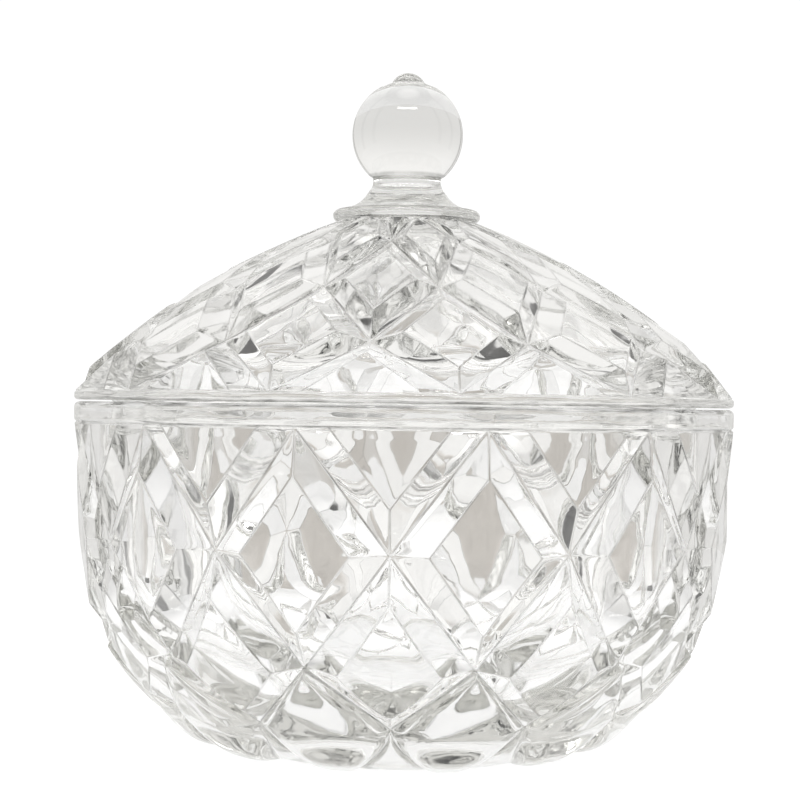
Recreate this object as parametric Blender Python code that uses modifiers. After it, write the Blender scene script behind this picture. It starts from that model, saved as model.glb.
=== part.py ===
"""Powder jar in pressed clear glass: a faceted bowl and a faceted domed lid.

Two pieces of glass.  The bowl stands on its flat base.  The lid drops on the
bowl's rim, centred by a short ring inside the mouth, and is lifted off by the
ball knob that is pressed in one piece with it.

Both pieces carry the same pattern: twelve raised diamonds round the jar in
staggered rows, parted by V grooves.  Every row of groove crossings is turned
half a pitch from the next, and each diamond has an inner face about 5/8 of
its size with four bevels running down to the grooves.

Frame: origin at the centre of the base, +Z up the jar's axis, front is -Y.
Metres.
"""

import math

import bmesh
import bpy
from mathutils import Matrix, Vector

MM = 0.001

# ---------------------------------------------------------------- dimensions
PATTERN_COUNT = 12                 # diamonds round the jar
INNER_RATIO = 0.625                # inner face of a diamond, share of its size

RIM_RADIUS = 65.0 * MM             # jar's largest radius, at the rims
RIM_HEIGHT = 68.0 * MM             # bowl's rim above the base
BAND_HEIGHT = 4.0 * MM             # plain band under the bowl's rim
EDGE = 0.8 * MM                    # chamfer on the rims' edges

WALL_TOP_RADIUS = 65.0 * MM        # outline of the bowl at the band
WALL_FOOT_RADIUS = 63.4 * MM       # outline where the wall starts to turn in
WALL_FOOT_HEIGHT = 40.0 * MM
BELLY_CENTRE_RADIUS = 21.0 * MM    # the turned-in part is a quarter ellipse
BELLY_DROP = 40.4 * MM
BASE_RADIUS = 25.8 * MM            # flat base between the last grooves
BASE_GROOVE_RADIUS = 24.6 * MM     # and where a groove runs into it

MOUTH_RADIUS = 58.0 * MM           # inside of the bowl
INNER_FOOT_RADIUS = 57.0 * MM
INNER_FOOT_HEIGHT = 38.0 * MM
INNER_CENTRE_RADIUS = 14.0 * MM
FLOOR_THICKNESS = 8.0 * MM

# rows of groove crossings on the bowl: height and depth under the outline
BOWL_ROWS = ((63.9, 1.5), (42.3, 2.2), (21.4, 2.2), (9.4, 2.0), (0.7, 0.4))
PETAL_BULGE = (37.0 * MM, 2.0 * MM)  # radius and height of the petals' low point

GAP = 0.3 * MM                     # between lid and rim
LID_SEAT = RIM_HEIGHT + GAP        # lid's underside
LID_TURN = math.radians(-4.5)      # the lid stands a little turned on the bowl
LID_BAND_HEIGHT = 1.7 * MM         # plain edge of the lid
DOME_FOOT = (65.2, 71.6)           # the dome's outline is one shallow arc,
DOME_TOP = (15.3, 103.9)           # radius and height of its two ends
DOME_BULGE = 3.2                   # and its rise over the chord
DOME_TURN = 61.0                   # radius where it starts to turn down
DOME_EDGE = (65.0, 70.1)           # to the plain edge
DOME_THICKNESS = 6.2 * MM
# rows of crossings on the dome: radius on the outline and depth under it
LID_ROWS = ((9.0, 1.0), (24.8, 1.3), (41.4, 1.8), (55.2, 2.3), (65.0, 1.4))

LIP_RADIUS = 57.3 * MM             # locating ring inside the mouth
LIP_INNER_RADIUS = 53.4 * MM
LIP_DEPTH = 3.6 * MM

KNOB_RADIUS = 11.05 * MM
KNOB_CENTRE = 121.9 * MM
TIP_HEIGHT = 134.4 * MM
DISC_RADIUS = 14.7 * MM
DISC_BOTTOM = 104.6 * MM
DISC_TOP = 107.2 * MM

ROUND_STEPS = 72


# ------------------------------------------------------------------ outlines
def bowl_outline():
    """(radius, height) down the bowl's outside, touching the diamonds."""
    points = []
    for i in range(13):
        t = i / 12
        z = RIM_HEIGHT + (WALL_FOOT_HEIGHT - RIM_HEIGHT) * t
        slope = (WALL_TOP_RADIUS - WALL_FOOT_RADIUS) / (
            RIM_HEIGHT - BAND_HEIGHT - WALL_FOOT_HEIGHT)
        points.append((WALL_FOOT_RADIUS + (z - WALL_FOOT_HEIGHT) * slope, z))
    width = WALL_FOOT_RADIUS - BELLY_CENTRE_RADIUS
    for i in range(1, 61):
        z = WALL_FOOT_HEIGHT * (1 - i / 60)
        drop = (WALL_FOOT_HEIGHT - z) / BELLY_DROP
        points.append((BELLY_CENTRE_RADIUS + width * math.sqrt(1 - drop ** 2), z))
    return points


def dome_arc(offset=0.0):
    """Centre (r, z) and radius of the dome's arc, moved inwards by offset."""
    r0, z0 = DOME_FOOT[0] * MM, DOME_FOOT[1] * MM
    r1, z1 = DOME_TOP[0] * MM, DOME_TOP[1] * MM
    chord = math.hypot(r1 - r0, z1 - z0)
    rise = DOME_BULGE * MM
    radius = chord ** 2 / (8 * rise) + rise / 2
    out = ((z1 - z0) / chord, (r0 - r1) / chord)
    mid = ((r0 + r1) / 2, (z0 + z1) / 2)
    back = radius - rise
    return (mid[0] - out[0] * back, mid[1] - out[1] * back), radius - offset


def dome_height(r, offset=0.0):
    (cr, cz), radius = dome_arc(offset)
    return cz + math.sqrt(radius ** 2 - (r - cr) ** 2)


def lid_outline():
    """(radius, height) down the lid's dome, from the knob to the edge."""
    top, turn = LID_ROWS[0][0] * MM, DOME_TURN * MM
    points = [(top + (turn - top) * i / 60,
               dome_height(top + (turn - top) * i / 60)) for i in range(61)]
    start = Vector(points[-1])
    edge = Vector(DOME_EDGE) * MM
    bend = Vector((edge.x + 0.1 * MM, dome_height(edge.x) + 0.5 * MM))
    for i in range(1, 13):
        t = i / 12
        points.append(tuple(start * (1 - t) ** 2 + bend * 2 * t * (1 - t)
                            + edge * t ** 2))
    return points


class Outline:
    """A polyline in (radius, height), walked by its length."""

    def __init__(self, points):
        self.points = [Vector(p) for p in points]
        self.length = [0.0]
        for a, b in zip(self.points, self.points[1:]):
            self.length.append(self.length[-1] + (b - a).length)

    def segment(self, s):
        s = min(max(s, 0.0), self.length[-1])
        for i in range(len(self.points) - 1):
            if s <= self.length[i + 1]:
                break
        part = (s - self.length[i]) / (self.length[i + 1] - self.length[i])
        return i, part

    def at(self, s):
        i, part = self.segment(s)
        return self.points[i].lerp(self.points[i + 1], part)

    def inward(self, s):
        i, _ = self.segment(s)
        along = (self.points[i + 1] - self.points[i]).normalized()
        return Vector((along.y, -along.x))

    def find(self, value, axis):
        """Length at which the radius (axis 0) or height (axis 1) is value."""
        for i, (a, b) in enumerate(zip(self.points, self.points[1:])):
            lo, hi = sorted((a[axis], b[axis]))
            if lo - 1e-9 <= value <= hi + 1e-9:
                part = (value - a[axis]) / (b[axis] - a[axis])
                return self.length[i] + part * (b - a).length
        return self.length[-1]


# ------------------------------------------------------------- faceted skins
class Skin:
    """Builds the pattern's facets: crossings, inner faces and bevels."""

    def __init__(self, outline, rows, turn):
        self.bm = bmesh.new()
        self.outline = outline
        self.turn = turn
        self.half = math.pi / PATTERN_COUNT
        self.s = [row[0] for row in rows]
        self.cross = []
        for k, (s, depth) in enumerate(rows):
            r, z = outline.at(s) + outline.inward(s) * depth
            self.cross.append([self.put(r, z, 2 * i + (k + 1) % 2)
                               for i in range(PATTERN_COUNT)])

    def put(self, r, z, step, aside=0.0):
        """A vertex at radius r towards half-pitch number step, moved aside."""
        angle = self.turn + step * self.half
        spot = Vector((aside, -r, z))
        return self.bm.verts.new(Matrix.Rotation(angle, 3, 'Z') @ spot)

    def crossing(self, row, step):
        """The crossing of a row at an even (odd rows) or odd half-pitch."""
        first = (row + 1) % 2
        return self.cross[row][((step - first) // 2) % PATTERN_COUNT]

    def spot(self, s):
        return self.outline.at(s)

    def aside(self, row, share):
        vert = self.crossing(row, (row + 1) % 2)
        r = math.hypot(vert.co.x, vert.co.y)
        return share * r * math.sin(self.half)

    def face(self, *verts):
        # two verts may be one and the same where cells meet a straight edge
        clean = [v for i, v in enumerate(verts) if v is not verts[i - 1]]
        return self.bm.faces.new(clean)

    def diamond(self, row, ratio):
        """Diamonds whose side corners are the crossings of this row."""
        s_mid, s_up, s_down = self.s[row], self.s[row - 1], self.s[row + 1]
        r_up, z_up = self.spot(s_mid + (s_up - s_mid) * ratio)
        r_mid, z_mid = self.spot(s_mid)
        r_down, z_down = self.spot(s_mid + (s_down - s_mid) * ratio)
        # the inner face runs between its end corners, a little crowned
        t = (z_mid - z_down) / (z_up - z_down)
        r_mid = 0.25 * r_mid + 0.75 * (r_down + (r_up - r_down) * t)
        wide = self.aside(row, ratio)
        for i in range(PATTERN_COUNT):
            step = 2 * i + row % 2
            top, bottom = self.crossing(row - 1, step), self.crossing(row + 1, step)
            left, right = self.crossing(row, step - 1), self.crossing(row, step + 1)
            inner = (self.put(r_up, z_up, step), self.put(r_mid, z_mid, step, -wide),
                     self.put(r_down, z_down, step), self.put(r_mid, z_mid, step, wide))
            middle = self.put(r_mid, z_mid, step)
            outer = (top, left, bottom, right)
            for a in range(4):
                b = (a + 1) % 4
                self.face(outer[a], outer[b], inner[b], inner[a])
                self.face(inner[a], inner[b], middle)

    def petal(self, row):
        """Plain crowned diamonds without an inner face."""
        s_mid = self.s[row]
        r_mid, z_mid = self.spot(s_mid)
        for i in range(PATTERN_COUNT):
            step = 2 * i + row % 2
            outer = (self.crossing(row - 1, step), self.crossing(row, step - 1),
                     self.crossing(row + 1, step), self.crossing(row, step + 1))
            middle = self.put(r_mid, z_mid, step)
            low = self.put(PETAL_BULGE[0], PETAL_BULGE[1], step)
            top, left, bottom, right = outer
            self.face(top, left, middle)
            self.face(left, low, middle)
            self.face(left, bottom, low)
            self.face(bottom, right, low)
            self.face(right, middle, low)
            self.face(right, top, middle)

    def edge_triangles(self, row, point_row, inset, ledge):
        """Half diamonds between a straight edge (row) and one crossing.

        ledge is the (radius, height) of the edge half way between crossings;
        inset is how far the inner triangle keeps from the edge.
        """
        s_edge, s_point = self.s[row], self.s[point_row]
        way = s_point - s_edge
        s_in = s_edge + math.copysign(inset, way)
        s_tip = s_edge + way * INNER_RATIO * 0.92
        r_in, z_in = self.spot(s_in)
        r_tip, z_tip = self.spot(s_tip)
        wide = self.aside(row, INNER_RATIO)
        r_in = math.sqrt(r_in ** 2 - 0.8 * wide ** 2)
        self.ledge = {}
        for i in range(PATTERN_COUNT):
            step = 2 * i + row % 2
            left, right = self.crossing(row, step - 1), self.crossing(row, step + 1)
            point = self.crossing(point_row, step)
            mid = self.put(ledge[0], ledge[1], step)
            self.ledge[step] = mid
            in_left = self.put(r_in, z_in, step, -wide)
            in_right = self.put(r_in, z_in, step, wide)
            tip = self.put(r_tip, z_tip, step)
            if way > 0:                                  # edge above the point
                self.face(left, in_left, mid)
                self.face(mid, in_left, in_right)
                self.face(mid, in_right, right)
                self.face(left, point, tip, in_left)
                self.face(point, right, in_right, tip)
                self.face(in_left, tip, in_right)
            else:                                        # edge below the point
                self.face(left, mid, in_left)
                self.face(mid, in_right, in_left)
                self.face(mid, right, in_right)
                self.face(left, in_left, tip, point)
                self.face(point, tip, in_right, right)
                self.face(in_left, in_right, tip)

    def close(self, edge_row, rings, flip):
        """Carry the straight edge on through plain rings and cap the last."""
        last = {}
        for step in range(2 * PATTERN_COUNT):
            last[step] = (self.ledge[step] if step in self.ledge
                          else self.crossing(edge_row, step))
        for r, z in rings:
            ring = {step: self.put(r, z, step) for step in last}
            for step in range(2 * PATTERN_COUNT):
                after = (step + 1) % (2 * PATTERN_COUNT)
                quad = (last[step], last[after], ring[after], ring[step])
                self.face(*(quad if flip else quad[::-1]))
            last = ring
        cap = [last[step] for step in range(2 * PATTERN_COUNT)]
        self.face(*(cap if flip else cap[::-1]))

    def finish(self, name):
        bmesh.ops.triangulate(self.bm, faces=[f for f in self.bm.faces
                                              if len(f.verts) == 4])
        bmesh.ops.recalc_face_normals(self.bm, faces=self.bm.faces)
        mesh = bpy.data.meshes.new(name)
        self.bm.to_mesh(mesh)
        self.bm.free()
        return mesh


# ------------------------------------------------------------ scene helpers
def new_collection(name):
    collection = bpy.data.collections.new(name)
    bpy.context.scene.collection.children.link(collection)
    return collection


def glass_material(name, colour, roughness):
    material = bpy.data.materials.new(name)
    material.use_nodes = True
    shader = material.node_tree.nodes['Principled BSDF']
    shader.inputs['Base Color'].default_value = (*colour, 1.0)
    shader.inputs['Roughness'].default_value = roughness
    shader.inputs['Metallic'].default_value = 0.0
    shader.inputs['Transmission Weight'].default_value = 1.0
    shader.inputs['IOR'].default_value = 1.52
    return material


def turned(name, profile, steps, collection):
    """A solid of revolution about Z: a profile and a Screw modifier.

    The profile runs from the axis at the top, down the outer side, back to
    the axis at the bottom.
    """
    mesh = bpy.data.meshes.new(name)
    bm = bmesh.new()
    verts = [bm.verts.new((r, 0.0, z)) for r, z in profile]
    for a, b in zip(verts, verts[1:]):
        bm.edges.new((a, b))
    bm.to_mesh(mesh)
    bm.free()
    obj = bpy.data.objects.new(name, mesh)
    collection.objects.link(obj)
    screw = obj.modifiers.new('turn', 'SCREW')
    screw.axis = 'Z'
    screw.angle = math.tau
    screw.steps = screw.render_steps = steps
    screw.use_merge_vertices = True
    screw.merge_threshold = 0.00001
    screw.use_normal_calculate = False
    return obj


def cut_or_join(target, tool, operation):
    modifier = target.modifiers.new(operation.lower() + ' ' + tool.name, 'BOOLEAN')
    modifier.operation = operation
    modifier.object = tool
    modifier.solver = 'EXACT'
    tool.hide_render = True
    tool.display_type = 'WIRE'


# --------------------------------------------------------------------- bowl
def make_bowl(parts, tools):
    outline = Outline(bowl_outline())
    rows = [(outline.find(z * MM, 1), depth * MM) for z, depth in BOWL_ROWS]
    skin = Skin(outline, rows, 0.0)
    band_foot = RIM_HEIGHT - BAND_HEIGHT
    # half diamonds under the band, two rows of diamonds, the belly's petals
    skin.edge_triangles(0, 1, 2.0 * MM, (64.1 * MM, band_foot - 0.1 * MM))
    skin.close(0, ((63.2 * MM, band_foot + 1.4 * MM),), True)
    skin.diamond(1, INNER_RATIO)
    skin.diamond(2, INNER_RATIO)
    skin.petal(3)
    # last half diamonds, turning under to the flat base
    foot = {}
    for step in range(2 * PATTERN_COUNT):
        foot[step] = skin.put(BASE_GROOVE_RADIUS if step % 2 else BASE_RADIUS,
                              0.0, step)
    for i in range(PATTERN_COUNT):
        step = 2 * i
        left, right = (step - 1) % (2 * PATTERN_COUNT), step + 1
        top = skin.crossing(3, step)
        a, b = skin.crossing(4, step - 1), skin.crossing(4, step + 1)
        skin.face(top, a, foot[step])
        skin.face(top, foot[step], b)
        skin.face(a, foot[left], foot[step])
        skin.face(foot[step], foot[right], b)
    skin.face(*[foot[step] for step in reversed(range(2 * PATTERN_COUNT))])
    bowl = bpy.data.objects.new('bowl', skin.finish('bowl'))
    parts.objects.link(bowl)

    # the plain band and rim, a turned ring
    band = turned('bowl_band', (
        (0.0, RIM_HEIGHT),
        (RIM_RADIUS - EDGE, RIM_HEIGHT),
        (RIM_RADIUS - 0.25 * EDGE, RIM_HEIGHT - 0.25 * EDGE),
        (RIM_RADIUS, RIM_HEIGHT - EDGE),
        (RIM_RADIUS, band_foot + EDGE),
        (RIM_RADIUS - EDGE, band_foot + 0.15 * MM),
        (0.0, band_foot + 0.15 * MM)), ROUND_STEPS, tools)
    cut_or_join(bowl, band, 'UNION')

    # the hollow
    hollow = [(0.0, RIM_HEIGHT + 5 * MM),
              (MOUTH_RADIUS + EDGE, RIM_HEIGHT + 5 * MM),
              (MOUTH_RADIUS + EDGE, RIM_HEIGHT + 0.1 * MM),
              (MOUTH_RADIUS + 0.25 * EDGE, RIM_HEIGHT - 0.5 * EDGE),
              (MOUTH_RADIUS, RIM_HEIGHT - 1.4 * EDGE)]
    width = INNER_FOOT_RADIUS - INNER_CENTRE_RADIUS
    drop = INNER_FOOT_HEIGHT - FLOOR_THICKNESS
    for i in range(11):
        angle = i / 10 * math.pi / 2
        hollow.append((INNER_CENTRE_RADIUS + width * math.cos(angle),
                       INNER_FOOT_HEIGHT - drop * math.sin(angle)))
    hollow.append((0.0, FLOOR_THICKNESS))
    cut_or_join(bowl, turned('bowl_hollow', hollow, ROUND_STEPS, tools), 'DIFFERENCE')
    return bowl


# ---------------------------------------------------------------------- lid
def make_lid(parts, tools):
    outline = Outline(lid_outline())
    rows = [(outline.find(r * MM, 0), depth * MM) for r, depth in LID_ROWS]
    skin = Skin(outline, rows, LID_TURN)
    band_top = LID_SEAT + LID_BAND_HEIGHT
    # plain facets under the knob's disc, three rows of diamonds, half
    # diamonds along the edge
    crown = skin.put(0.0, outline.at(0.0).y - 1.2 * MM, 0)
    for i in range(PATTERN_COUNT):
        a, b = skin.crossing(0, 2 * i - 1), skin.crossing(0, 2 * i + 1)
        skin.face(a, skin.crossing(1, 2 * i), b)
        skin.face(a, b, crown)
    skin.diamond(1, INNER_RATIO)
    skin.diamond(2, INNER_RATIO)
    skin.diamond(3, INNER_RATIO)
    skin.edge_triangles(4, 3, 0.1 * MM, (64.5 * MM, band_top))
    skin.close(4, ((63.0 * MM, band_top - 0.9 * MM),), False)
    lid = bpy.data.objects.new('lid', skin.finish('lid'))
    parts.objects.link(lid)

    # plain edge and the locating ring under it
    edge = turned('lid_edge', (
        (0.0, band_top - 0.05 * MM),
        (RIM_RADIUS - 0.5 * EDGE, band_top - 0.05 * MM),
        (RIM_RADIUS, band_top - 0.6 * EDGE),
        (RIM_RADIUS, LID_SEAT + 0.7 * EDGE),
        (RIM_RADIUS - 0.25 * EDGE, LID_SEAT + 0.2 * EDGE),
        (RIM_RADIUS - EDGE, LID_SEAT),
        (LIP_RADIUS, LID_SEAT),
        (LIP_RADIUS, RIM_HEIGHT - LIP_DEPTH + EDGE),
        (LIP_RADIUS - EDGE, RIM_HEIGHT - LIP_DEPTH),
        (0.0, RIM_HEIGHT - LIP_DEPTH)), ROUND_STEPS, tools)
    cut_or_join(lid, edge, 'UNION')

    # knob: pointed cap, ball, collar, flared neck and disc
    ball = []
    start, end = math.radians(58), math.radians(-50)
    for i in range(15):
        angle = start + (end - start) * i / 14
        ball.append((KNOB_RADIUS * math.cos(angle),
                     KNOB_CENTRE + KNOB_RADIUS * math.sin(angle)))
    knob = turned('lid_knob', [
        (0.0, TIP_HEIGHT),
        (1.7 * MM, TIP_HEIGHT - 0.25 * MM),
        (3.3 * MM, TIP_HEIGHT - 0.9 * MM),
        (4.7 * MM, TIP_HEIGHT - 2.0 * MM)] + ball + [
        (6.7 * MM, DISC_TOP + 5.4 * MM),
        (6.6 * MM, DISC_TOP + 3.4 * MM),
        (7.3 * MM, DISC_TOP + 2.2 * MM),
        (9.2 * MM, DISC_TOP + 1.3 * MM),
        (11.0 * MM, DISC_TOP + 0.5 * MM),
        (DISC_RADIUS - 1.0 * MM, DISC_TOP),
        (DISC_RADIUS - 0.2 * MM, DISC_TOP - 0.5 * MM),
        (DISC_RADIUS, DISC_TOP - 1.2 * MM),
        (DISC_RADIUS - 0.3 * MM, DISC_BOTTOM + 0.5 * MM),
        (DISC_RADIUS - 1.0 * MM, DISC_BOTTOM),
        (DISC_RADIUS - 1.2 * MM, DISC_BOTTOM - 3.0 * MM),
        (0.0, DISC_BOTTOM - 3.0 * MM)], 48, tools)
    cut_or_join(lid, knob, 'UNION')

    # the hollow under the dome
    hollow = [(0.0, dome_height(0.0, DOME_THICKNESS))]
    for i in range(1, 13):
        r = LIP_INNER_RADIUS * i / 12
        hollow.append((r, dome_height(r, DOME_THICKNESS)))
    hollow += [(LIP_INNER_RADIUS, RIM_HEIGHT - 10 * MM), (0.0, RIM_HEIGHT - 10 * MM)]
    cut_or_join(lid, turned('lid_hollow', hollow, ROUND_STEPS, tools), 'DIFFERENCE')
    return lid


def main():
    for obj in list(bpy.data.objects):
        bpy.data.objects.remove(obj, do_unlink=True)
    parts = new_collection('powder_jar')
    tools = new_collection('powder_jar_cutters')
    bowl = make_bowl(parts, tools)
    lid = make_lid(parts, tools)
    bowl.data.materials.append(glass_material('glass_bowl', (0.93, 0.94, 0.92), 0.02))
    lid.data.materials.append(glass_material('glass_lid', (0.93, 0.94, 0.92), 0.02))


main()
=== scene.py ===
# Looks of the powder jar: pressed clear glass, bowl and lid.
#
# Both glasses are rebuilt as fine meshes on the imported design's dimensions:
# the same outline, rows of crossings and diamonds, with soft fire-polished
# edges, slightly crowned faces, a drawn surface and smooth insides.
# Lengths are in millimetres until a mesh is written.

import math

import bpy
import numpy as np
from mathutils import Matrix, Vector


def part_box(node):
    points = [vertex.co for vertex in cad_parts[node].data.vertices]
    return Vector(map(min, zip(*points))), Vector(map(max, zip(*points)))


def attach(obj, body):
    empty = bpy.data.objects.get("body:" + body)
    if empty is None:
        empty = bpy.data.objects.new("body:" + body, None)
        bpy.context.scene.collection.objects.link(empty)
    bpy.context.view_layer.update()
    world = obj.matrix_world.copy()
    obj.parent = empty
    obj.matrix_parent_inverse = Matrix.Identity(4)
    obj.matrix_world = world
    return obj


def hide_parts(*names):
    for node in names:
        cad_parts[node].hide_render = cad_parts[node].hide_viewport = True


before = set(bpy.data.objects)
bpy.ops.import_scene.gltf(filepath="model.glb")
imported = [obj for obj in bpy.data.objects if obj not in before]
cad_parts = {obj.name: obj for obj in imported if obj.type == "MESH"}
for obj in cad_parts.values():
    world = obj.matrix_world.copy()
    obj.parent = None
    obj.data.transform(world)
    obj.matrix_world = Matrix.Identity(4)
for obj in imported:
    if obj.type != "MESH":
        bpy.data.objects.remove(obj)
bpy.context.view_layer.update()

# ------------------------------------------------------------ design numbers
COUNT = 12                    # diamonds round the jar
HALF = math.pi / COUNT
RATIO = 0.625                 # inner face of a diamond
STEPS = 13                    # mesh steps from a groove to a middle line
AROUND = 4 * COUNT * STEPS    # mesh points in a row of the cut surface
EDGE_AROUND = AROUND // 2     # round the rims, where half of them meet
SMOOTH_AROUND = AROUND // 4   # and round the smooth insides and the knob

(_, _, _), (RIM_R, _, RIM_H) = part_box("bowl")
RIM_R, RIM_H = RIM_R * 1000, RIM_H * 1000
(_, _, LIP_Z), (_, _, TIP_Z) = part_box("lid")
LIP_Z, TIP_Z = LIP_Z * 1000, TIP_Z * 1000

BAND = 4.0
BOWL_ROWS = ((63.9, 1.5), (42.3, 2.2), (21.4, 2.2), (9.4, 2.0), (0.7, 0.4))
LID_TURN = math.radians(-4.5)
LID_ROWS = ((9.0, 1.0), (24.8, 1.3), (41.4, 1.8), (55.2, 2.3), (65.0, 1.4))
LID_SEAT = RIM_H + 0.3
LID_BAND_TOP = LID_SEAT + 1.7


# ------------------------------------------------------------------ outlines
def ellipse_part(points, centre_r, wide, top, drop, foot):
    for i in range(1, 241):
        z = top - (top - foot) * i / 240
        d = (top - z) / drop
        points.append((centre_r + wide * math.sqrt(max(0.0, 1 - d * d)), z))


def bowl_outline():
    points = [(63.4 + (z - 40.0) * 1.6 / 24.0, z)
              for z in np.linspace(RIM_H, 40.0, 49)]
    ellipse_part(points, 21.0, 42.4, 40.0, 40.4, 0.0)
    return points


DOME_A, DOME_B, DOME_RISE = (65.2, 71.6), (15.3, 103.9), 3.2


def dome_height(r, offset=0.0):
    chord = math.hypot(DOME_B[0] - DOME_A[0], DOME_B[1] - DOME_A[1])
    radius = chord ** 2 / (8 * DOME_RISE) + DOME_RISE / 2
    out = ((DOME_B[1] - DOME_A[1]) / chord, (DOME_A[0] - DOME_B[0]) / chord)
    back = radius - DOME_RISE
    cr = (DOME_A[0] + DOME_B[0]) / 2 - out[0] * back
    cz = (DOME_A[1] + DOME_B[1]) / 2 - out[1] * back
    return cz + math.sqrt((radius - offset) ** 2 - (r - cr) ** 2)


def lid_outline():
    points = [(r, dome_height(r)) for r in np.linspace(9.0, 61.0, 161)]
    start = np.array(points[-1])
    edge = np.array((65.0, 70.1))
    bend = np.array((65.1, dome_height(65.0) + 0.5))
    for t in np.linspace(0, 1, 25)[1:]:
        points.append(tuple(start * (1 - t) ** 2 + bend * 2 * t * (1 - t)
                            + edge * t ** 2))
    return points


class Outline:
    def __init__(self, points):
        self.p = np.array(points, float)
        step = np.hypot(*np.diff(self.p, axis=0).T)
        self.s = np.concatenate(([0.0], np.cumsum(step)))

    def at(self, s):
        return np.stack([np.interp(s, self.s, self.p[:, 0]),
                         np.interp(s, self.s, self.p[:, 1])], -1)

    def inward(self, s):
        d = self.at(s + 0.3) - self.at(s - 0.3)
        d = d / np.linalg.norm(d, axis=-1, keepdims=True)
        return np.stack([d[..., 1], -d[..., 0]], -1)

    def find(self, value, axis):
        v = self.p[:, axis]
        i = int(np.argmin(np.abs(v - value)))
        lo, hi = max(i - 1, 0), min(i + 1, len(v) - 1)
        for a in (lo, i):
            b = a + 1
            if b < len(v) and min(v[a], v[b]) - 1e-9 <= value <= max(v[a], v[b]) + 1e-9:
                t = (value - v[a]) / (v[b] - v[a])
                return self.s[a] + t * (self.s[b] - self.s[a])
        return self.s[hi]


# --------------------------------------------------------------- cut surface
SPREAD = 1.8                  # the petals keep their width towards the foot
EDGE_SOFT = 0.30              # half width of the fire-polished edges
ROW_STEPS = (0, .008, .018, .05, .10, .155, .21, .265, .32, .357, .375, .393,
             .43, .467, .5, .533, .57, .607, .625, .643, .68, .735, .79, .845,
             .90, .95, .982, .992)
# painted shade across a half diamond, from groove to middle line: a dark line on the groove and on the
# edge of the inner face; petals have it on the groove only
SHADE_LINE = np.array((1, .5, 0, 0, 0, 0, .4, .8, .4, 0, 0, 0, 0, 0.0))
SHADE_LINE_PETAL = np.array((1, .5, 0, 0, 0, 0, 0, 0, 0, 0, 0, 0, 0, 0.0))
TOP_STEPS = (0, .008, .018, .045, .07, .083, .096, .12, .155, .21, .265, .32,
             .357, .375, .393, .43, .467, .5, .533, .57, .607, .625, .643, .68,
             .735, .79, .845, .90, .95, .982, .992)


def turned(local, angle):
    ca, sa = np.cos(angle), np.sin(angle)
    return np.stack([ca * local[:, 0] - sa * local[:, 1],
                     sa * local[:, 0] + ca * local[:, 1], local[:, 2]], -1)


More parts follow.
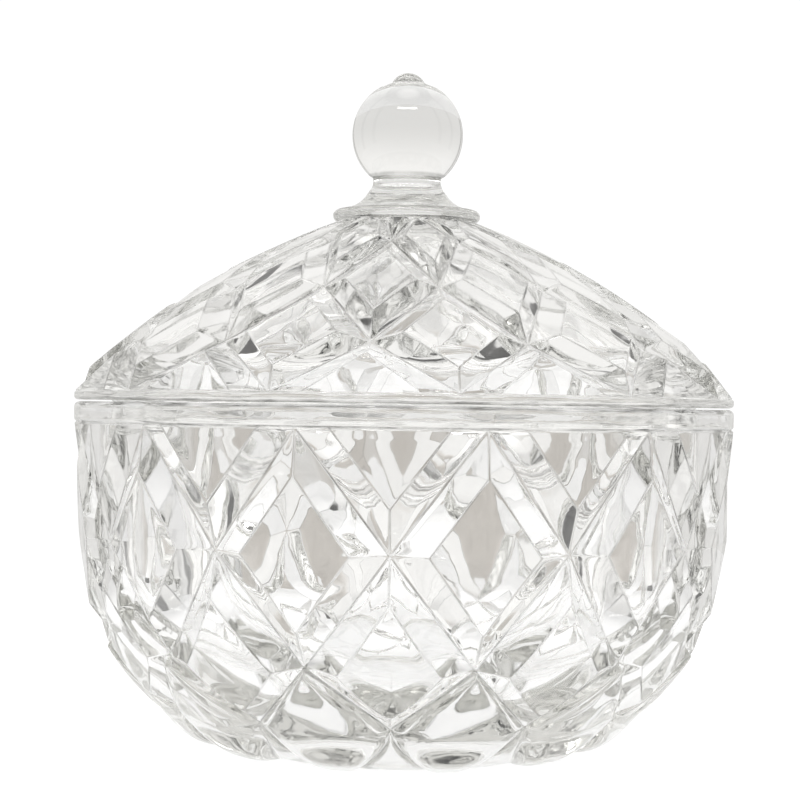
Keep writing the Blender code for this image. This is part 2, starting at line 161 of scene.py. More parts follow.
class Cut:
    """The cut pattern as a surface over (phi, y): phi counts half diamonds
    round the jar, y counts the rows of crossings down its outline.

    A point in the strip between crossing rows k and k + 1 lies in a half
    diamond, measured by a (sideways) and b (from its middle line to its
    point), both 0 to 1, with |a| + b = 1 on the grooves.
    """

    def __init__(self, outline, rows, turn, kinds, low_bulge=0.0):
        self.o, self.turn, self.kinds, self.low = outline, turn, kinds, low_bulge
        self.s = [r[0] for r in rows]
        self.depth = [r[1] for r in rows]
        self.cross = [outline.at(s) + outline.inward(s) * d for s, d in rows]

    def local(self, r, aside, z):
        return np.stack(np.broadcast_arrays(aside, -np.asarray(r), z), -1)

    def body(self, a, s, inset):
        """On the uncut body: a in half diamonds, inset from the outline."""
        p = self.o.at(s)
        n = self.o.inward(s)
        r = p[..., 0] + n[..., 0] * inset
        z = p[..., 1] + n[..., 1] * inset
        return np.stack([r * np.sin(a * HALF), -r * np.cos(a * HALF), z], -1)

    def inner(self, kind, base, apex, a, b):
        """A point of a half diamond's inner face."""
        s0, s1 = self.s[base], self.s[apex]
        wide = self.cross[base][0] * math.sin(HALF)
        if kind == 'diamond':
            other = 2 * base - apex
            up = self.o.at(s0 + (s1 - s0) * RATIO)
            down = self.o.at(s0 + (self.s[other] - s0) * RATIO)
            mid = self.o.at(s0)
            t = (mid[1] - down[1]) / (up[1] - down[1])
            chord = down[0] + (up[0] - down[0]) * t
            mid = np.array((0.25 * mid[0] + 0.75 * chord, mid[1]))
            f = (b / RATIO)[..., None]
            p = mid + (up - down) / 2 * f + ((up + down) / 2 - mid) * f ** 2
            n = -self.o.inward(s0)
            crown = 0.12 * (1 - f ** 2) * (1 - (a[..., None] / RATIO) ** 2)
            p = p + n * crown
            return self.local(p[..., 0], a * wide, p[..., 1])
        if kind == 'flat':
            p = self.o.at(s0 + (s1 - s0) * b)
            r = np.sqrt(np.maximum(p[..., 0] ** 2 - 0.7 * (0.8 * wide) ** 2 * (1 - b), 1.0))
            return self.local(r, a * wide, p[..., 1])
        lip = 0.083 if kind == 'edge_top' else 0.0
        ledge_r, ledge_z = (64.15, 63.85) if lip else (64.5, LID_BAND_TOP)
        tip = self.o.at(s0 + (s1 - s0) * RATIO)
        foot = self.o.at(s0 + (s1 - s0) * lip)
        foot_r = math.sqrt(foot[0] ** 2 - 0.8 * (RATIO * wide) ** 2)
        f = (b - lip) / (RATIO - lip)
        r = foot_r + (tip[0] - foot_r) * f
        z = foot[1] + (tip[1] - foot[1]) * f
        if lip:
            g = np.clip(b / lip, 0, 1)
            r = np.where(b < lip, ledge_r + (foot_r - ledge_r) * g, r)
            z = np.where(b < lip, ledge_z + (foot[1] - ledge_z) * g, z)
        return self.local(r, a * wide, z)

    def groove(self, base, apex, t, side):
        rb, zb = self.cross[base]
        ra, za = self.cross[apex]
        t = t[..., None]
        corner = self.local(rb * math.cos(HALF), side * rb * math.sin(HALF),
                            np.full_like(side, zb))
        point = self.local(np.full_like(side, ra), 0.0, za)
        return corner * (1 - t) + point * t

    def half(self, kind, base, apex, a, b):
        """A half diamond: inner face, then bevels down to the grooves."""
        if kind == 'petal':
            width = np.maximum(1 - b, 1e-6)
            side = np.where(a < 0, -1.0, 1.0)
            s = self.s[base] + (self.s[apex] - self.s[base]) * b
            at_groove = self.groove(base, apex, b, side)
            w = np.clip(np.abs(a) / width, 0, 1)[..., None] ** 4
            return (self.body(a, s, 0.15)
                    + (at_groove - self.body(side * width, s, 0.15)) * w)
        ratio = 0.8 if kind == 'flat' else RATIO
        q = np.abs(a) + b
        scale = np.minimum(ratio / np.maximum(q, 1e-9), 1.0)
        face = self.inner(kind, base, apex, a * scale, b * scale)
        t = b / np.maximum(q, 1e-9)
        groove = self.groove(base, apex, t, np.where(a < 0, -1.0, 1.0))
        w = np.clip((q - ratio) / (1 - ratio), 0, 1)[..., None]
        return face * (1 - w) + groove * w

    def foot_strip(self, a, v, down):
        """The last strip of the bowl: petals drawn in under the belly, and
        small plain panels between them."""
        b = v ** SPREAD
        width = np.maximum(np.where(down, 1 - b, b), 1e-6)
        side = np.where(a < 0, -1.0, 1.0)
        k = len(self.s) - 2
        s = self.s[k] + (self.s[k + 1] - self.s[k]) * v
        depth = self.depth[k] * (1 - v) + self.depth[k + 1] * v
        bulge = self.low * np.sin(np.pi * np.clip(v, 0, 1)) ** 1.5
        inset = np.where(down, 0.15 * (1 - v) - bulge, depth * 0.45)
        x = np.clip(np.abs(a) / width, 0, 1)
        w = np.where(down, x ** 4, x ** 6)
        return self.body(a, s, inset * (1 - w) + depth * w)

    def point(self, phi, y):
        last = len(self.s) - 2
        y = np.clip(y, 0, last + 1)
        strip = np.clip(np.floor(y).astype(int), 0, last)
        v = y - strip
        out = np.zeros(phi.shape + (3,))
        for k in range(last + 1):
            here = strip == k
            if not here.any():
                continue
            p, w = phi[here], v[here]
            w_side = w ** SPREAD if self.kinds[k][1] == 'foot' else w
            c0 = 2 * np.round((p - k % 2) / 2) + k % 2
            down = np.abs(p - c0) <= 1 - w_side
            c1 = 2 * np.round((p - (k + 1) % 2) / 2) + (k + 1) % 2
            c = np.where(down, c0, c1)
            a = p - c
            if self.kinds[k][1] == 'foot':
                got = self.foot_strip(a, w, down)
            else:
                got = np.zeros((len(p), 3))
                got[down] = self.half(self.kinds[k][0], k, k + 1, a[down], w[down])
                got[~down] = self.half(self.kinds[k][1], k + 1, k, a[~down], 1 - w[~down])
            out[here] = turned(got, self.turn + c * HALF)
        return out

    def soft_point(self, phi, y):
        """The surface with its edges and grooves rounded, as fire polishing
        does: each point is the mean of the surface close round it."""
        r = np.interp(y, np.arange(len(self.s)), [c[0] for c in self.cross])
        dphi = EDGE_SOFT / (r * math.sin(HALF))
        steps = np.diff(self.s)
        dy = EDGE_SOFT / np.interp(y, np.arange(len(steps)) + 0.5, steps)
        total = 0
        for i, wi in ((-1, .125), (-.5, .25), (0, .25), (.5, .25), (1, .125)):
            for j, wj in ((-1, .25), (0, .5), (1, .25)):
                total = total + wi * wj * self.point(phi + i * dphi, y + j * dy)
        return total

    def columns(self, width, soft, ratio):
        """Places from a groove (0) to a middle line (width), closer together
        beside the groove and the edge of the inner face, which both carry a
        painted dark line."""
        if width < 1e-9:
            return np.zeros(STEPS + 1)
        bevel = min(1 - ratio, width)
        face = width - bevel
        e = min(soft, bevel / 4)
        out = [0, e / 2, e, e + (bevel - 2 * e) / 3, e + (bevel - 2 * e) * 2 / 3,
               bevel - e, bevel - e / 2, bevel]
        e = min(soft, face / 5)
        out += [bevel + e / 2, bevel + e]
        out += [bevel + e + (face - e) * i / 4 for i in (1, 2, 3, 4)]
        out = np.array(out)
        if width < 0.05:
            out = width * np.round(np.arange(STEPS + 1) / STEPS * 3) / 3
        return out

    def row(self, k, v, lines=False):
        r = np.interp(k + v, np.arange(len(self.s)), [c[0] for c in self.cross])
        soft = 1.15 * EDGE_SOFT / (r * math.sin(HALF))
        b = v ** SPREAD if self.kinds[k][1] == 'foot' else v
        phi, shade_mark = [], []
        for centre in (0, 1):
            down = centre == k % 2
            kind = self.kinds[k][0 if down else 1]
            ratio = {'petal': 0.85, 'foot': 0.85, 'flat': 0.8}.get(kind, RATIO)
            width = 1 - b if down else b
            o = self.columns(width, soft, ratio)
            left = centre - width + o
            right = centre + width - o[::-1]
            phi += [left, right[1:-1]]
            # painted shade along this row, fainter where the half diamond narrows
            line = SHADE_LINE if kind in ('diamond', 'flat') or kind.startswith('edge') else SHADE_LINE_PETAL
            line = line * min(1.0, 0.35 + width * 4)
            shade_mark += [line, line[::-1][1:-1]]
        # on request, the row's painted shade instead of its places
        if lines:
            return np.tile(np.concatenate(shade_mark), COUNT)
        one = np.concatenate(phi)
        return (one[None, :] + 2 * np.arange(COUNT)[:, None]).ravel()

    def grid(self, first=0.0):
        rows, heights, self.lines = [], [], []
        for k in range(len(self.s) - 1):
            for v in (TOP_STEPS if self.kinds[k][0] == 'edge_top' else ROW_STEPS):
                if k + v < first:
                    continue
                rows.append(self.row(k, v))
                self.lines.append(self.row(k, v, True))
                heights.append(k + v)
        rows.append(self.row(len(self.s) - 2, 1.0))
        self.lines.append(self.row(len(self.s) - 2, 1.0, True))
        heights.append(len(self.s) - 1.0)
        phi = np.array(rows)
        y = np.repeat(np.array(heights)[:, None], phi.shape[1], 1)
        return self.soft_point(phi.ravel(), y.ravel()).reshape(phi.shape + (3,)), phi


# ------------------------------------------------------------- ring surfaces
def ring(r, z, count, turn=0.0):
    ang = turn + np.arange(count) * math.tau / count
    return np.stack([r * np.sin(ang), -r * np.cos(ang), np.full(count, z)], -1)


class Surface:
    """Rings of points joined into one closed skin."""

    def __init__(self):
        self.points, self.faces, self.quads, self.n = [], [], [], 0
        self.haze, self.hazes = 1.0, []      # 1 on the plunger's side, 0 on the cut side
        # painted shade, up to 1 along grooves and edges, kept per point
        self.shade_marks = []                      # 1 on grooves and edges
        self.last = None

    def add(self, pts, shade_mark=0.0):
        ids = np.arange(self.n, self.n + len(pts))
        self.shade_marks.append(np.full(len(pts), shade_mark))
        self.points.append(pts)
        self.hazes.append(np.full(len(pts), self.haze))
        self.n += len(pts)
        return ids

    def pole(self, z):
        ids = self.add(np.array([[0.0, 0.0, z]]))
        if self.last is not None:
            ring_ids = self.last
            nxt = np.roll(ring_ids, -1)
            self.faces.append(np.stack([ring_ids, nxt, np.full(len(ring_ids), ids[0])], -1))
        self.last = ids

    def ring(self, pts, shade_mark=0.0):
        ids = self.add(pts, shade_mark)
        old = self.last
        if old is not None:
            if len(old) == 1:
                self.faces.append(np.stack([np.full(len(ids), old[0]), np.roll(ids, -1), ids], -1))
            elif len(old) == len(ids):
                a, b = old, np.roll(old, -1)
                c, d = np.roll(ids, -1), ids
                self.quads.append(np.stack([a, b, c, d], -1))
            else:
                self.bridge(old, ids)
        self.last = ids

    def bridge(self, old, new):
        """Joins rings of which one has a whole multiple of the other's points."""
        if len(old) > len(new):
            m = len(old) // len(new)
            for i in range(m):
                a = old[i::m]
                b = np.roll(old, -1)[i::m]
                c = new if i < (m + 1) // 2 else np.roll(new, -1)
                self.faces.append(np.stack([a, b, c], -1))
            a = old[(m + 1) // 2::m]
            self.faces.append(np.stack([a, np.roll(new, -1), new], -1))
        else:
            m = len(new) // len(old)
            for i in range(m):
                a = new[i::m]
                b = np.roll(new, -1)[i::m]
                c = old if i < (m + 1) // 2 else np.roll(old, -1)
                self.faces.append(np.stack([b, a, c], -1))
            a = new[(m + 1) // 2::m]
            self.faces.append(np.stack([old, np.roll(old, -1), a], -1))

    def fan_out(self):
        """Repeats an edge ring's points for a row of the cut surface, where
        every second half diamond has shrunk to a point."""
        i = np.arange(AROUND)
        pitch, step = i // (4 * STEPS), i % (4 * STEPS)
        one = pitch * 2 * STEPS + np.minimum(step, 2 * STEPS)
        self.last = self.last[one % EDGE_AROUND]

    def fan_in(self):
        self.last = self.last.reshape(COUNT, 4 * STEPS)[:, :2 * STEPS].ravel()

    def arc(self, centre, radius, start, end, steps, count, turn=0.0, shade_marks=()):
        for i in range(steps + 1):
            ang = math.radians(start + (end - start) * i / steps)
            # the listed rings get a painted dark line (0.8)
            self.ring(ring(centre[0] + radius * math.cos(ang),
                           centre[1] + radius * math.sin(ang), count, turn),
                      0.8 if i in shade_marks else 0.0)

    def build(self, name, drawn):
        pts = np.concatenate(self.points)
        q = np.concatenate(self.quads)
        ac = np.linalg.norm(pts[q[:, 0]] - pts[q[:, 2]], axis=1)
        bd = np.linalg.norm(pts[q[:, 1]] - pts[q[:, 3]], axis=1)
        cross = (bd < ac)[:, None]         # each quad along its shorter diagonal
        tris = np.concatenate(self.faces + [
            np.where(cross, q[:, [0, 1, 3]], q[:, [0, 1, 2]]),
            np.where(cross, q[:, [1, 2, 3]], q[:, [0, 2, 3]])])
        # points that meet become one, and faces with no width go
        _, keep, same = np.unique(np.round(pts / 1e-4).astype(np.int64), axis=0,
                                  return_index=True, return_inverse=True)
        haze = np.concatenate(self.hazes)[keep]
        shade_mark = np.concatenate(self.shade_marks)[keep]
        pts, tris = pts[keep], same.ravel()[tris]
        tris = tris[(tris[:, 0] != tris[:, 1]) & (tris[:, 1] != tris[:, 2])
                    & (tris[:, 2] != tris[:, 0])]
        a, b, c = pts[tris[:, 0]], pts[tris[:, 1]], pts[tris[:, 2]]
        if np.einsum('ij,ij->', a, np.cross(b, c)) < 0:
            tris = tris[:, ::-1]
        pts = drawn(pts)
        mesh = bpy.data.meshes.new(name)
        mesh.vertices.add(len(pts))
        mesh.vertices.foreach_set('co', (pts / 1000).astype(np.float32).ravel())
        mesh.loops.add(tris.size)
        mesh.loops.foreach_set('vertex_index', tris.astype(np.int32).ravel())
        mesh.polygons.add(len(tris))
        mesh.polygons.foreach_set('loop_start', np.arange(0, tris.size, 3, dtype=np.int32))
        mesh.polygons.foreach_set('use_smooth', np.ones(len(tris), bool))
        mesh.update(calc_edges=True)
        # 'groove' carries the painted shade lines to the material, 'haze' the duller insides
        for label, values in (('haze', haze), ('groove', shade_mark)):
            mesh.attributes.new(label, 'FLOAT', 'POINT').data.foreach_set(
                'value', values.astype(np.float32))
        mesh.validate()
        obj = bpy.data.objects.new(name, mesh)
        bpy.context.scene.collection.objects.link(obj)
        return obj


def wander(p, amount, seed):
    """A slow drift of the surface, a few hundredths of a millimetre."""
    rng = np.random.default_rng(seed)
    total = np.zeros(len(p))
    for length, share in ((34.0, 0.45), (17.0, 0.3), (9.0, 0.25)):
        for _ in range(4):
            k = rng.normal(size=3)
            k *= math.tau / length / np.linalg.norm(k)
            total += share / 2 * np.sin(p @ k + rng.uniform(0, math.tau))
    out = p.copy()
    r = np.hypot(p[:, 0], p[:, 1]) + 1e-6
    move = np.minimum(amount * total, RIM_R - r)
    out[:, 0] += move * p[:, 0] / r
    out[:, 1] += move * p[:, 1] / r
    return out


# --------------------------------------------------------------------- bowl
def edge_ring(r, z, phi, turn):
    ang = turn + phi * HALF
    return np.stack([r * np.sin(ang), -r * np.cos(ang), np.full(len(phi), z)], -1)


def edge_phi(cut):
    return cut.row(0, 0.0).reshape(COUNT, 4 * STEPS)[:, :2 * STEPS].ravel()


def make_bowl():
    outline = Outline(bowl_outline())
    rows = [(outline.find(z, 1), d) for z, d in BOWL_ROWS]
    cut = Cut(outline, rows, 0.0, [('edge_top', 'diamond'), ('diamond', 'diamond'),
                                   ('diamond', 'petal'), ('petal', 'foot')], 1.6)
    grid, _ = cut.grid()
    phi = edge_phi(cut)
    t0 = -HALF
    s = Surface()
    # inside, from the middle of the floor up to the mouth
    s.pole(8.0)
    for r in np.linspace(0, 14.0, 8)[1:]:
        s.ring(ring(r, 8.0, SMOOTH_AROUND, t0))
    for i in range(1, 41):
        ang = math.pi / 2 * (1 - i / 40)
        s.ring(ring(14.0 + 43.0 * math.cos(ang), 38.0 - 30.0 * math.sin(ang),
                    SMOOTH_AROUND, t0))
    top = RIM_H
    for z in np.linspace(38.0, top - 1.6, 12)[1:]:
        s.ring(ring(57.0 + (z - 38.0) / 30.0, z, SMOOTH_AROUND, t0))
    s.arc((59.3, top - 1.3), 1.3, 172, 100, 5, SMOOTH_AROUND, t0)
    s.haze = 0.0
    # painted shade: a faint dark ring on the rim's top where the lid sits, dark round its outer edge, and
    # a dark line at the foot of the band
    s.ring(ring(60.2, top, EDGE_AROUND, t0), 0.1)
    s.ring(edge_ring(63.2, top, phi, 0.0), 0.25)
    for i, (r, z) in enumerate(arc_points((RIM_R - 1.05, top - 1.05), 1.05, 84, 4, 7)):
        s.ring(edge_ring(r, z, phi, 0.0), 0.9 if i < 6 else 0.0)
    s.ring(edge_ring(RIM_R, top - 2.0, phi, 0.0))
    foot = top - BAND
    for i, (r, z) in enumerate(arc_points((RIM_R - 0.75, foot + 0.85), 0.75, 0, -72, 5)):
        s.ring(edge_ring(r, z, phi, 0.0), 0.9 if i > 2 else 0.0)
    s.fan_out()
    # the rows of the cut surface with their painted shade lines
    for pts, line in zip(grid, cut.lines):
        s.ring(pts, line)
    s.fan_in()
    # turning under to the flat base, hollowed a little in the middle
    last = grid[-1].reshape(COUNT, 4 * STEPS, 3)[:, :2 * STEPS].reshape(-1, 3)
    foot_r = 25.2 + 0.6 * np.cos(phi * math.pi)
    for t in (0.35, 0.7, 1.0):
        pts = last.copy()
        r_now = np.hypot(last[:, 0], last[:, 1])
        r = r_now + (foot_r - r_now) * t
        pts[:, 0] *= r / r_now
        pts[:, 1] *= r / r_now
        pts[:, 2] = last[:, 2] * (1 - t) ** 1.6
        s.ring(pts)
    s.ring(ring(23.4, 0.0, EDGE_AROUND, t0))
    s.ring(ring(22.8, 0.12, EDGE_AROUND, t0))
    for r in np.linspace(22.3, 1.2, 16):
        s.ring(ring(r, 0.9 - 0.6 * (r / 22.3) ** 2, EDGE_AROUND, t0))
    s.pole(0.9)
    return s.build('bowl_glass', lambda p: wander(p, 0.035, 3))


def arc_points(centre, radius, start, end, steps):
    for i in range(steps + 1):
        ang = math.radians(start + (end - start) * i / steps)
        yield centre[0] + radius * math.cos(ang), centre[1] + radius * math.sin(ang)


# ---------------------------------------------------------------------- lid
def make_lid():
    outline = Outline(lid_outline())
    rows = [(outline.find(r, 0), d) for r, d in LID_ROWS]
    cut = Cut(outline, rows, LID_TURN, [('flat', 'diamond'), ('diamond', 'diamond'),
                                        ('diamond', 'diamond'), ('diamond', 'edge_foot')])
    grid, phis = cut.grid(0.26)
    phi = edge_phi(cut)
    t0 = LID_TURN - HALF
    s = Surface()
    # hollow under the dome
    s.pole(dome_height(0, 6.2))
    for r in np.linspace(0, 52.6, 34)[1:]:
        s.ring(ring(r, dome_height(r, 6.2), SMOOTH_AROUND, t0))
    low = LIP_Z
    z_turn = dome_height(53.4, 6.2)
    for z in np.linspace(z_turn - 0.6, low + 1.2, 7):
        s.ring(ring(53.4, z, SMOOTH_AROUND, t0))
    s.arc((54.4, low + 1.0), 1.0, 180, 270, 5, SMOOTH_AROUND, t0)
    s.arc((56.5, low + 0.8), 0.8, 270, 360, 5, SMOOTH_AROUND, t0)
    s.ring(ring(57.3, LID_SEAT - 0.5, SMOOTH_AROUND, t0))
    s.ring(ring(57.8, LID_SEAT, SMOOTH_AROUND, t0))
    s.haze = 0.0
    # painted shadow: a dark ring under the lid's edge, where it sits on the bowl
    s.ring(ring(61.0, LID_SEAT, EDGE_AROUND, t0), 0.1)
    for r, z in ((63.6, LID_SEAT),
                 *arc_points((RIM_R - 0.75, LID_SEAT + 0.75), 0.75, -84, 0, 6),
                 *arc_points((RIM_R - 0.45, LID_BAND_TOP - 0.45), 0.45, 10, 80, 4)):
        s.ring(edge_ring(r, z, phi, LID_TURN), (0.25 if r < 64.0 else 0.9) if z < LID_SEAT + 0.5 else 0.0)
    s.fan_out()
    # the rows of the cut surface with their painted shade lines
    for pts, line in zip(grid[::-1], cut.lines[::-1]):
        s.ring(pts, line)
    # disc, neck, ball and cap
    near = phis[0].reshape(COUNT, -1)[:, ::4]
    s.ring(edge_ring(13.0, 104.15, near.ravel(), LID_TURN))
    even = 2 * np.arange(STEPS) / STEPS
    t0 = LID_TURN + float(np.mean(near[0] - even)) * HALF
    s.ring(ring(13.3, 104.5, SMOOTH_AROUND, t0))
    # painted shade: dark rings at the disc's rounded edge, at the neck's ends, where the ball starts and
    # ends, and on the cap, as the knob's dark outline
    s.arc((13.55, 105.7), 1.15, -80, 72, 12, SMOOTH_AROUND, t0, (0, 1, 2, 10, 11))
    neck = ((12.6, 106.98), (11.6, 107.25), (10.4, 107.75), (9.4, 108.4), (8.55, 109.2),
            (7.95, 110.0), (7.45, 110.7), (7.05, 111.3), (6.85, 111.8), (6.75, 112.4),
            (6.75, 113.0), (6.85, 113.35), (7.05, 113.55))
    for r, z in neck:
        s.ring(ring(r, z, SMOOTH_AROUND, t0), 0.8 if z > 113.3 or z < 107.1 else 0.0)
    s.arc((0.0, 121.9), 11.05, -47.5, 58, 36, SMOOTH_AROUND, t0, (0, 36))
    cap = ((5.62, 131.33), (5.35, 131.30), (5.12, 131.36), (4.92, 131.52), (4.62, 131.74),
           (4.2, 131.93), (3.75, 132.1), (3.42, 132.27), (3.2, 132.5), (3.0, 132.85),
           (2.68, 133.25), (2.25, 133.62), (1.7, 133.97), (1.1, 134.22), (0.5, 134.36))
    for i, (r, z) in enumerate(cap):
        s.ring(ring(r, z, SMOOTH_AROUND, t0), {0: 0.7, 1: 1.0, 2: 0.8, 7: 0.5, 8: 0.8}.get(i, 0.0))
    s.pole(TIP_Z)
    return s.build('lid_glass', lambda p: wander(p, 0.035, 8))


# ---------------------------------------------------------------- materials
def glass(name, seed):
    m = bpy.data.materials.new(name)
    m.use_nodes = True
    nt = m.node_tree
    p = nt.nodes['Principled BSDF']
    p.inputs['Metallic'].default_value = 0.0
    p.inputs['Transmission Weight'].default_value = 1.0
    p.inputs['IOR'].default_value = 1.52
    coord = nt.nodes.new('ShaderNodeTexCoord')
    place = nt.nodes.new('ShaderNodeMapping')
    place.inputs['Location'].default_value = (seed, seed * 0.37, 0.0)
    nt.links.new(coord.outputs['Object'], place.inputs['Vector'])
    # fire polish: glossy outside with a few duller patches, and a little hazy
    # on the plunger's side, which chills first
    side = nt.nodes.new('ShaderNodeAttribute')
    side.attribute_name = 'haze'
    cloud = nt.nodes.new('ShaderNodeTexNoise')
    cloud.inputs['Scale'].default_value = 55.0
    cloud.inputs['Detail'].default_value = 4.0
    nt.links.new(place.outputs['Vector'], cloud.inputs['Vector'])
    rough = nt.nodes.new('ShaderNodeMapRange')
    rough.inputs['From Min'].default_value = 0.40
    rough.inputs['From Max'].default_value = 0.75
    rough.inputs['To Min'].default_value = 0.0
    rough.inputs['To Max'].default_value = 0.03
    nt.links.new(cloud.outputs['Fac'], rough.inputs['Value'])
    hazy = nt.nodes.new('ShaderNodeMapRange')
    hazy.name = 'hazy'
    hazy.inputs['From Min'].default_value = 0.40
    hazy.inputs['From Max'].default_value = 0.75
    hazy.inputs['To Min'].default_value = 0.01
    hazy.inputs['To Max'].default_value = 0.08
    nt.links.new(cloud.outputs['Fac'], hazy.inputs['Value'])
    both = nt.nodes.new('ShaderNodeMix')
    nt.links.new(side.outputs['Fac'], both.inputs['Factor'])
    nt.links.new(rough.outputs['Result'], both.inputs['A'])
    nt.links.new(hazy.outputs['Result'], both.inputs['B'])
    nt.links.new(both.outputs['Result'], p.inputs['Roughness'])
    # painted shade: dark lines along the grooves and edges, round the rims where lid and bowl meet and
    # round the knob, in patches
    lines = nt.nodes.new('ShaderNodeAttribute')
    lines.attribute_name = 'groove'
    patch = nt.nodes.new('ShaderNodeTexNoise')
    patch.inputs['Scale'].default_value = 160.0
    patch.inputs['Detail'].default_value = 2.0
    nt.links.new(place.outputs['Vector'], patch.inputs['Vector'])
    # noise makes the painted shade stronger and weaker along the lines
    patchy_shade = nt.nodes.new('ShaderNodeMapRange')
    patchy_shade.name = 'patchy_shade'
    patchy_shade.inputs['From Min'].default_value = 0.35
    patchy_shade.inputs['From Max'].default_value = 0.65
    patchy_shade.inputs['To Min'].default_value = 0.35
    patchy_shade.inputs['To Max'].default_value = 1.0
    nt.links.new(patch.outputs['Fac'], patchy_shade.inputs['Value'])
    line_shade = nt.nodes.new('ShaderNodeMath')
    line_shade.operation = 'MULTIPLY'
    nt.links.new(lines.outputs['Fac'], line_shade.inputs[0])
    nt.links.new(patchy_shade.outputs['Result'], line_shade.inputs[1])
    tone = nt.nodes.new('ShaderNodeMix')
    tone.name = 'line_shade_tone'
    tone.data_type = 'RGBA'
    tone.inputs['A'].default_value = (1.0, 1.0, 1.0, 1.0)
    # the dark of the painted shade lines
    tone.inputs['B'].default_value = (0.06, 0.06, 0.055, 1.0)
    nt.links.new(line_shade.outputs['Value'], tone.inputs['Factor'])
    nt.links.new(tone.outputs['Result'], p.inputs['Base Color'])
    # drawn skin: shallow ripples
    ripple = nt.nodes.new('ShaderNodeTexNoise')
    ripple.inputs['Scale'].default_value = 140.0
    ripple.inputs['Detail'].default_value = 1.5
    nt.links.new(place.outputs['Vector'], ripple.inputs['Vector'])
    bump = nt.nodes.new('ShaderNodeBump')
    bump.inputs['Distance'].default_value = 0.0002
    depth = nt.nodes.new('ShaderNodeMapRange')
    depth.inputs['To Min'].default_value = 0.12
    depth.inputs['To Max'].default_value = 0.55
    nt.links.new(side.outputs['Fac'], depth.inputs['Value'])
    nt.links.new(depth.outputs['Result'], bump.inputs['Strength'])
    nt.links.new(ripple.outputs['Fac'], bump.inputs['Height'])
    nt.links.new(bump.outputs['Normal'], p.inputs['Normal'])
    soak = nt.nodes.new('ShaderNodeVolumeAbsorption')
    soak.inputs['Color'].default_value = (0.82, 0.82, 0.79, 1.0)
    soak.inputs['Density'].default_value = 12.0
    nt.links.new(soak.outputs['Volume'], nt.nodes['Material Output'].inputs['Volume'])
    return m


bowl = make_bowl()
lid = make_lid()
for piece, node, seed in ((bowl, 'bowl', 1.3), (lid, 'lid', 4.1)):
    piece.data.materials.append(glass(node + '_clear_glass', seed))
    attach(piece, node)
    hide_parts(node)


# ------------------------------------------------------------- stage, studio
class Nodes:
    """Short names for the maths of the studio's light."""

    def __init__(self, tree):
        self.tree = tree

    def math(self, op, a, b=None):
        n = self.tree.nodes.new('ShaderNodeMath')
        n.operation = op
        for i, v in enumerate((a, b)):
            if isinstance(v, (int, float)):
                n.inputs[i].default_value = v
            elif v is not None:
                self.tree.links.new(v, n.inputs[i])
        return n.outputs[0]

    def ramp(self, v, low, high, start, end):
        n = self.tree.nodes.new('ShaderNodeMapRange')
        n.interpolation_type = 'SMOOTHSTEP'
        for name, value in (('From Min', low), ('From Max', high),
                            ('To Min', start), ('To Max', end)):
            n.inputs[name].default_value = value
        self.tree.links.new(v, n.inputs['Value'])
        return n.outputs['Result']

    def band(self, v, middle, half, soft):
        """1 within half of middle, falling to 0 over soft."""
        off = self.math('ABSOLUTE', self.math('SUBTRACT', v, middle))
        return self.ramp(off, half, half + soft, 1.0, 0.0)

    def times(self, a, b):
        return self.math('MULTIPLY', a, b)

    def dimmed(self, level, mask, share):
        return self.times(level, self.math('SUBTRACT', 1.0, self.times(mask, share)))


def make_table():
    """A round white table, lit from below so that it has almost no shadow."""
    mesh = bpy.data.meshes.new('floor')
    ang = np.arange(96) * math.tau / 96
    mesh.from_pydata([(0.45 * math.cos(t), 0.45 * math.sin(t), -0.0004) for t in ang], [],
                     [tuple(range(96))])
    obj = bpy.data.objects.new('floor', mesh)
    bpy.context.scene.collection.objects.link(obj)
    mat = bpy.data.materials.new('floor_white')
    mat.use_nodes = True
    tree = mat.node_tree
    p = tree.nodes['Principled BSDF']
    p.inputs['Base Color'].default_value = (0.35, 0.35, 0.35, 1.0)
    p.inputs['Roughness'].default_value = 0.9
    p.inputs['Specular IOR Level'].default_value = 0.1
    p.inputs['Emission Color'].default_value = (1.0, 1.0, 1.0, 1.0)
    n = Nodes(tree)
    coord = tree.nodes.new('ShaderNodeTexCoord')
    far = tree.nodes.new('ShaderNodeVectorMath')
    far.operation = 'LENGTH'
    tree.links.new(coord.outputs['Object'], far.inputs[0])
    glow = n.ramp(far.outputs['Value'], 0.07, 0.26, 0.82, 0.50)
    path = tree.nodes.new('ShaderNodeLightPath')
    plain = n.times(path.outputs['Is Camera Ray'], n.math('SUBTRACT', 0.88, glow))
    tree.links.new(n.math('ADD', glow, plain), p.inputs['Emission Strength'])
    mesh.materials.append(mat)


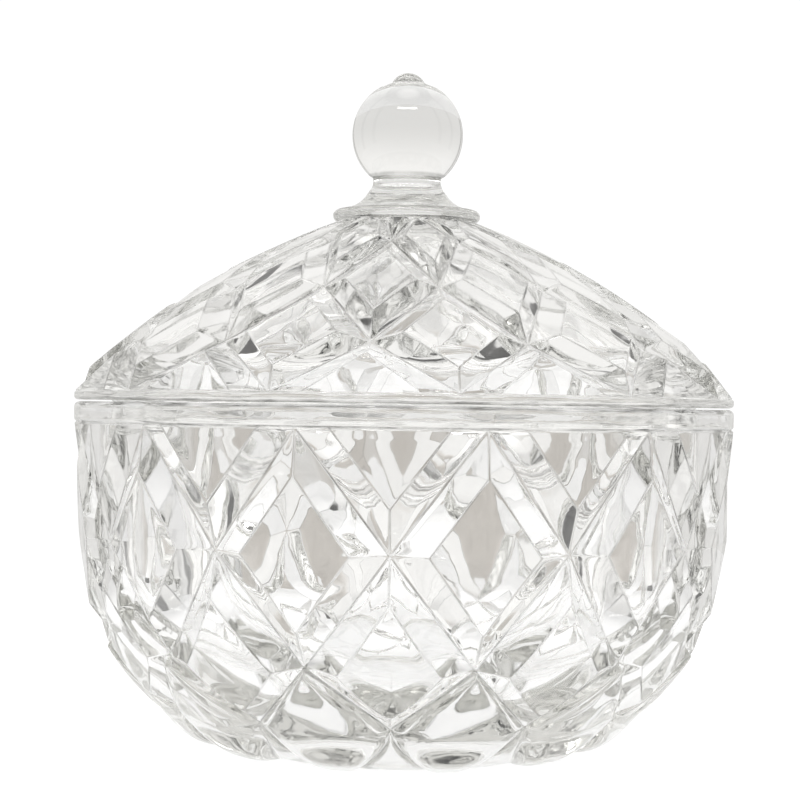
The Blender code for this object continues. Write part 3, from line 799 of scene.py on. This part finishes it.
def make_studio():
    """White walls a little darker and warmer at the horizon, a bright ceiling
    panel, a strip light, and a few dark gaps that give glass its dark lines.
    Light that has passed only two surfaces of glass, as in the knob, meets
    plainer walls than light that has passed the walls of the jar."""
    world = bpy.data.worlds.new('studio')
    bpy.context.scene.world = world
    world.use_nodes = True
    tree = world.node_tree
    n = Nodes(tree)
    coord = tree.nodes.new('ShaderNodeTexCoord')
    split = tree.nodes.new('ShaderNodeSeparateXYZ')
    tree.links.new(coord.outputs['Generated'], split.inputs['Vector'])
    x, y, z = split.outputs
    degrees = 180 / math.pi
    up = n.times(n.math('ARCSINE', z), degrees)
    round_ = n.times(n.math('ARCTAN2', x, y), degrees)
    # front and back, left and right are alike: 0 is ahead or behind, 90 beside
    side = n.math('ABSOLUTE', n.math('SUBTRACT', n.math(
        'FLOORED_MODULO', n.math('ADD', round_, 90.0), 180.0), 90.0))
    path = tree.nodes.new('ShaderNodeLightPath')
    walls = n.ramp(path.outputs['Transmission Depth'], 2.4, 3.6, 0.0, 1.0)
    level = n.ramp(up, -6, 35, 0.74, 0.95)
    more = n.math('ADD', n.ramp(up, -2, 5, 0.0, 0.17), n.ramp(up, 15, 45, 0.0, 0.10))
    more = n.math('ADD', more, n.times(n.band(side, 52, 11, 8), 0.20))
    more = n.math('SUBTRACT', more, n.ramp(side, 12, 32, 0.05, 0.0))
    level = n.math('ADD', level, n.times(walls, more))
    haze = n.times(walls, n.times(n.ramp(side, 8, 26, 1.0, 0.0), n.band(up, -4, 4.5, 5)))
    level = n.math('SUBTRACT', level, n.times(haze, 0.18))
    slit = n.times(n.band(side, 73, 2.5, 3), n.ramp(up, 58, 66, 1.0, 0.0))
    level = n.dimmed(level, n.times(slit, n.ramp(walls, 0, 1, 0.65, 1.0)), 0.95)
    cards = n.times(n.band(side, 39, 2.5, 1.5), n.band(up, -1, 4, 2))
    level = n.dimmed(level, n.times(cards, walls), 0.95)
    level = n.dimmed(level, n.band(up, 66, 7, 2), 0.93)
    strip = n.times(n.band(n.math('ABSOLUTE', round_), 180, 28, 2), n.band(up, 51, 2.2, 0.8))
    level = n.math('ADD', level, n.times(strip, 9.0))
    level = n.math('ADD', level, n.ramp(up, 76, 80, 0.0, 0.8))
    light = tree.nodes['Background']
    tint = tree.nodes.new('ShaderNodeMix')
    tint.data_type = 'RGBA'
    tint.inputs['A'].default_value = (1.0, 0.992, 0.972, 1.0)
    tint.inputs['B'].default_value = (1.0, 0.942, 0.868, 1.0)
    tree.links.new(haze, tint.inputs['Factor'])
    tree.links.new(tint.outputs['Result'], light.inputs['Color'])
    tree.links.new(level, light.inputs['Strength'])
    # the background itself is plain white
    plain = tree.nodes.new('ShaderNodeBackground')
    plain.inputs['Color'].default_value = (1.0, 1.0, 1.0, 1.0)
    plain.inputs['Strength'].default_value = 1.05
    mix = tree.nodes.new('ShaderNodeMixShader')
    tree.links.new(path.outputs['Is Camera Ray'], mix.inputs['Fac'])
    tree.links.new(light.outputs[0], mix.inputs[1])
    tree.links.new(plain.outputs[0], mix.inputs[2])
    tree.links.new(mix.outputs[0], tree.nodes['World Output'].inputs['Surface'])


make_table()
make_studio()

# ------------------------------------------------------------------- camera
DISTANCE, FOCAL_PX = 403.0, 2019.0
AZIMUTH, ROLL = math.radians(1.9), math.radians(0.8)
YAW, TILT = math.atan(4.0 / FOCAL_PX), math.atan(6.0 / FOCAL_PX)
cam_data = bpy.data.cameras.new('camera')
cam = bpy.data.objects.new('camera', cam_data)
bpy.context.scene.collection.objects.link(cam)
cam_data.sensor_width = 36.0
cam_data.lens = FOCAL_PX / 800 * 36.0
cam_data.clip_start = 0.01
cam_data.clip_end = 100.0
cam.location = (DISTANCE / 1000 * math.sin(AZIMUTH), -DISTANCE / 1000 * math.cos(AZIMUTH),
                0.0679)
turn = AZIMUTH + YAW
forward = Vector((-math.sin(turn) * math.cos(TILT), math.cos(turn) * math.cos(TILT),
                  math.sin(TILT)))
right = forward.cross(Vector((0, 0, 1))).normalized()
up = right.cross(forward)
right, up = (right * math.cos(ROLL) + up * math.sin(ROLL),
             up * math.cos(ROLL) - right * math.sin(ROLL))
cam.rotation_euler = Matrix((right, up, -forward)).transposed().to_euler()
bpy.context.scene.camera = cam

scene = bpy.context.scene
scene.view_settings.view_transform = 'Standard'
scene.cycles.max_bounces = 24
scene.cycles.transmission_bounces = 24
scene.cycles.glossy_bounces = 12
scene.cycles.volume_bounces = 0
